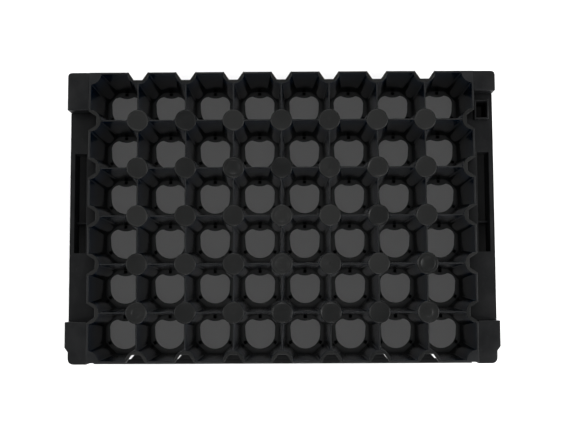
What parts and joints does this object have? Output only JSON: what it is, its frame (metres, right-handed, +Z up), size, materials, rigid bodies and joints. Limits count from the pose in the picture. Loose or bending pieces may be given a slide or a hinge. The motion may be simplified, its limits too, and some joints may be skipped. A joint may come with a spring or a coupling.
{
  "type": "plug tray",
  "caption": "Deep black propagation tray: tapering open-bottomed cells hung from a ridged deck with round post caps, lower end flanges with hand pockets and raised corner blocks.",
  "frame": {"origin": "middle of the tray's footprint, on the surface it stands on", "axes": "+X along the length, +Y across the width to the back long side, +Z up"},
  "size_m": [0.595, 0.4065, 0.11],
  "materials": {
    "cell": "semi-gloss",
    "deck": "semi-gloss",
    "caps": "satin",
    "flange": "satin"
  },
  "bodies": {
    "root": {"cell_r1c1": "cell", "cell_r1c2": "cell", "cell_r1c3": "cell", "cell_r1c4": "cell", "cell_r1c5": "cell", "cell_r1c6": "cell", "cell_r1c7": "cell", "cell_r1c8": "cell", "cell_r2c1": "cell", "cell_r2c2": "cell", "cell_r2c3": "cell", "cell_r2c4": "cell", "cell_r2c5": "cell", "cell_r2c6": "cell", "cell_r2c7": "cell", "cell_r2c8": "cell", "cell_r3c1": "cell", "cell_r3c2": "cell", "cell_r3c3": "cell", "cell_r3c4": "cell", "cell_r3c5": "cell", "cell_r3c6": "cell", "cell_r3c7": "cell", "cell_r3c8": "cell", "cell_r4c1": "cell", "cell_r4c2": "cell", "cell_r4c3": "cell", "cell_r4c4": "cell", "cell_r4c5": "cell", "cell_r4c6": "cell", "cell_r4c7": "cell", "cell_r4c8": "cell", "cell_r5c1": "cell", "cell_r5c2": "cell", "cell_r5c3": "cell", "cell_r5c4": "cell", "cell_r5c5": "cell", "cell_r5c6": "cell", "cell_r5c7": "cell", "cell_r5c8": "cell", "cell_r6c1": "cell", "cell_r6c2": "cell", "cell_r6c3": "cell", "cell_r6c4": "cell", "cell_r6c5": "cell", "cell_r6c6": "cell", "cell_r6c7": "cell", "cell_r6c8": "cell", "post_caps": "caps", "post_webs": "deck", "row_ridges": "deck", "column_ridges": "deck", "rim_lips": "deck", "side_rails": "deck", "groove_webs": "deck", "end_wall_left": "deck", "end_wall_right": "deck", "end_flange_left": "flange", "end_flange_right": "flange", "corner_blocks": "flange"}
  },
  "joints": []
}
